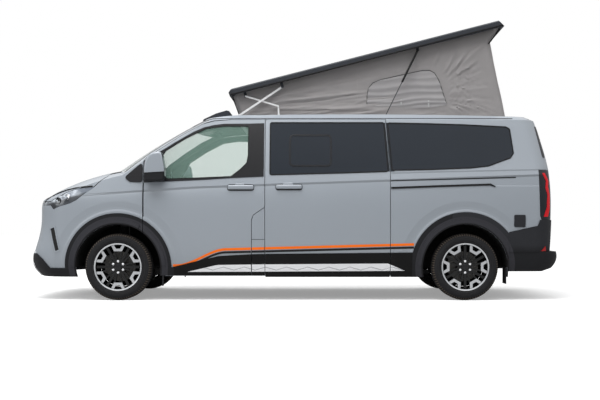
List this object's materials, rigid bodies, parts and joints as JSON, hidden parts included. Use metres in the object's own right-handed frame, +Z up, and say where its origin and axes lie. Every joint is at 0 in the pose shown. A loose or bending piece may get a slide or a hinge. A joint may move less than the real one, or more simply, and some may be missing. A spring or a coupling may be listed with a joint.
{
  "type": "camper van with a raised roof",
  "caption": "Long panel-side camper van with side windows and a rear-high tilting roof lid over a fabric bellows; doors, lids, wheels and steering move.",
  "frame": {"origin": "on the ground under the middle of the van's length and width", "axes": "+X to the rear along the length, +Y to the van's right side, +Z up"},
  "size_m": [5.4607, 2.27, 2.8663],
  "materials": {
    "paint": "gloss, solid light grey with a blue cast",
    "cladding": "grained black plastic",
    "clear_glass": "clear, faint green",
    "privacy_glass": "dark tint",
    "gloss_black": "gloss black",
    "headlamp": "clear lens",
    "tail_lamp": "red lens",
    "liner": "black felt-like plastic",
    "underbody": "black coating",
    "roof_shell": "satin dark grey",
    "link_metal": "satin",
    "dash": "soft-touch dark grey",
    "seat": "dark woven cloth",
    "furniture": "laminated board",
    "engine": "cast",
    "brake": "machined",
    "exhaust": "dull",
    "tank": "moulded black",
    "canvas": "coated woven canvas, warm grey",
    "tyre": "rubber",
    "rim": "black with machined faces",
    "strut": "black",
    "rod": "polished"
  },
  "bodies": {
    "root": {"floor_pan": "underbody", "body_side_left": "paint", "body_side_right": "paint", "roof_panel": "paint", "fenders": "paint", "cowl": "cladding", "windscreen": "clear_glass", "privacy_glass": "privacy_glass", "front_bumper": "paint", "grille": "gloss_black", "headlamps": "headlamp", "rear_bumper": "cladding", "tail_lamps": "tail_lamp", "side_cladding": "cladding", "wheel_liners": "liner", "sliding_door_left": "paint", "sliding_door_right": "paint", "roof_fairing": "roof_shell", "roof_tray": "link_metal", "dashboard": "dash", "seats": "seat", "kitchen_unit": "furniture", "engine_block": "engine", "front_subframe": "underbody", "rear_axle": "underbody", "rear_brakes": "brake", "exhaust": "exhaust", "fuel_tank": "tank", "canvas": "canvas"},
    "roof_lid": {"roof_lid": "roof_shell"},
    "bonnet": {"bonnet": "paint"},
    "tailgate": {"tailgate": "paint", "tailgate_glass": "privacy_glass"},
    "door_left": {"door_left": "paint", "door_glass_left": "clear_glass", "door_trim_left": "cladding"},
    "door_right": {"door_right": "paint", "door_glass_right": "clear_glass", "door_trim_right": "cladding"},
    "knuckle_left": {"knuckle_left": "brake"},
    "knuckle_right": {"knuckle_right": "brake"},
    "steering_wheel": {"steering_wheel": "dash"},
    "strut_tubes": {"strut_tubes": "strut"},
    "strut_rods": {"strut_rods": "rod"},
    "long_links": {"long_links": "link_metal"},
    "lid_links": {"lid_links": "link_metal"},
    "knee_links": {"knee_links": "link_metal"},
    "wheel_front_left": {"tyre_front_left": "tyre", "rim_front_left": "rim"},
    "wheel_front_right": {"tyre_front_right": "tyre", "rim_front_right": "rim"},
    "wheel_rear_left": {"tyre_rear_left": "tyre", "rim_rear_left": "rim"},
    "wheel_rear_right": {"tyre_rear_right": "tyre", "rim_rear_right": "rim"}
  },
  "joints": [
    {"name": "roof_raise", "type": "hinge", "parent": "root", "child": "long_links", "pos_m": [-0.562, 0, 1.893], "axis": [0, 1, 0], "range_deg": [0, 36.78]},
    {"name": "roof_tilt", "type": "hinge", "parent": "long_links", "child": "roof_lid", "pos_m": [-0.116, 0, 2.189], "axis": [0, 1, 0], "range_deg": [-22.49, 0], "deforming": ["canvas"]},
    {"name": "strut_tilt", "type": "hinge", "parent": "roof_lid", "child": "strut_tubes", "pos_m": [1.284, 0, 2.57], "axis": [0, 1, 0], "range_deg": [0, 50.49]},
    {"name": "rod_slide", "type": "slide", "parent": "strut_tubes", "child": "strut_rods", "axis": [0.4414, 0, 0.8973], "range_m": [0, 0.28278]},
    {"name": "lid_link_tilt", "type": "hinge", "parent": "roof_lid", "child": "lid_links", "pos_m": [-0.496, 0, 2.093], "axis": [0, 1, 0], "range_deg": [-35.09, 0]},
    {"name": "knee_tilt", "type": "hinge", "parent": "root", "child": "knee_links", "pos_m": [-0.155, 0, 1.905], "axis": [0, 1, 0], "range_deg": [0, 104.56]},
    {"name": "bonnet_hinge", "type": "hinge", "parent": "root", "child": "bonnet", "pos_m": [-1.885, 0, 1.347], "axis": [0, 1, 0], "range_deg": [0, 50]},
    {"name": "tailgate_hinge", "type": "hinge", "parent": "root", "child": "tailgate", "pos_m": [2.458, 0, 1.877], "axis": [0, -1, 0], "range_deg": [0, 85]},
    {"name": "door_left_hinge", "type": "hinge", "parent": "root", "child": "door_left", "pos_m": [-1.42, -1.014, 1], "axis": [0, 0, -1], "range_deg": [0, 65]},
    {"name": "door_right_hinge", "type": "hinge", "parent": "root", "child": "door_right", "pos_m": [-1.42, 1.014, 1], "axis": [0, 0, 1], "range_deg": [0, 65]},
    {"name": "steer_left", "type": "hinge", "parent": "root", "child": "knuckle_left", "pos_m": [-1.765, -0.82, 0.337], "axis": [0, 0, 1], "range_deg": [-32, 32]},
    {"name": "steer_right", "type": "hinge", "parent": "root", "child": "knuckle_right", "pos_m": [-1.765, 0.82, 0.337], "axis": [0, 0, 1], "range_deg": [-32, 32]},
    {"name": "steering_wheel_turn", "type": "hinge", "parent": "root", "child": "steering_wheel", "pos_m": [-1.085, -0.43, 1.105], "axis": [0.8829, 0, 0.4695], "range_deg": [-482, 482]},
    {"name": "wheel_front_left_spin", "type": "hinge", "parent": "knuckle_left", "child": "wheel_front_left", "pos_m": [-1.765, -0.87, 0.337], "axis": [0, 1, 0], "continuous": true},
    {"name": "wheel_front_right_spin", "type": "hinge", "parent": "knuckle_right", "child": "wheel_front_right", "pos_m": [-1.765, 0.87, 0.337], "axis": [0, 1, 0], "continuous": true},
    {"name": "wheel_rear_left_spin", "type": "hinge", "parent": "root", "child": "wheel_rear_left", "pos_m": [1.735, -0.87, 0.337], "axis": [0, 1, 0], "continuous": true},
    {"name": "wheel_rear_right_spin", "type": "hinge", "parent": "root", "child": "wheel_rear_right", "pos_m": [1.735, 0.87, 0.337], "axis": [0, 1, 0], "continuous": true}
  ],
  "couplings": [
    {"joint": "roof_tilt", "follows": "roof_raise", "ratio": -0.61016},
    {"joint": "strut_tilt", "follows": "roof_raise", "ratio": 1.37},
    {"joint": "rod_slide", "follows": "roof_raise", "m_per_rad": 0.43958},
    {"joint": "lid_link_tilt", "follows": "roof_raise", "ratio": -0.9521},
    {"joint": "knee_tilt", "follows": "roof_raise", "ratio": 2.8367},
    {"joint": "steer_right", "follows": "steer_left", "ratio": 1},
    {"joint": "steering_wheel_turn", "follows": "steer_left", "ratio": 15}
  ]
}
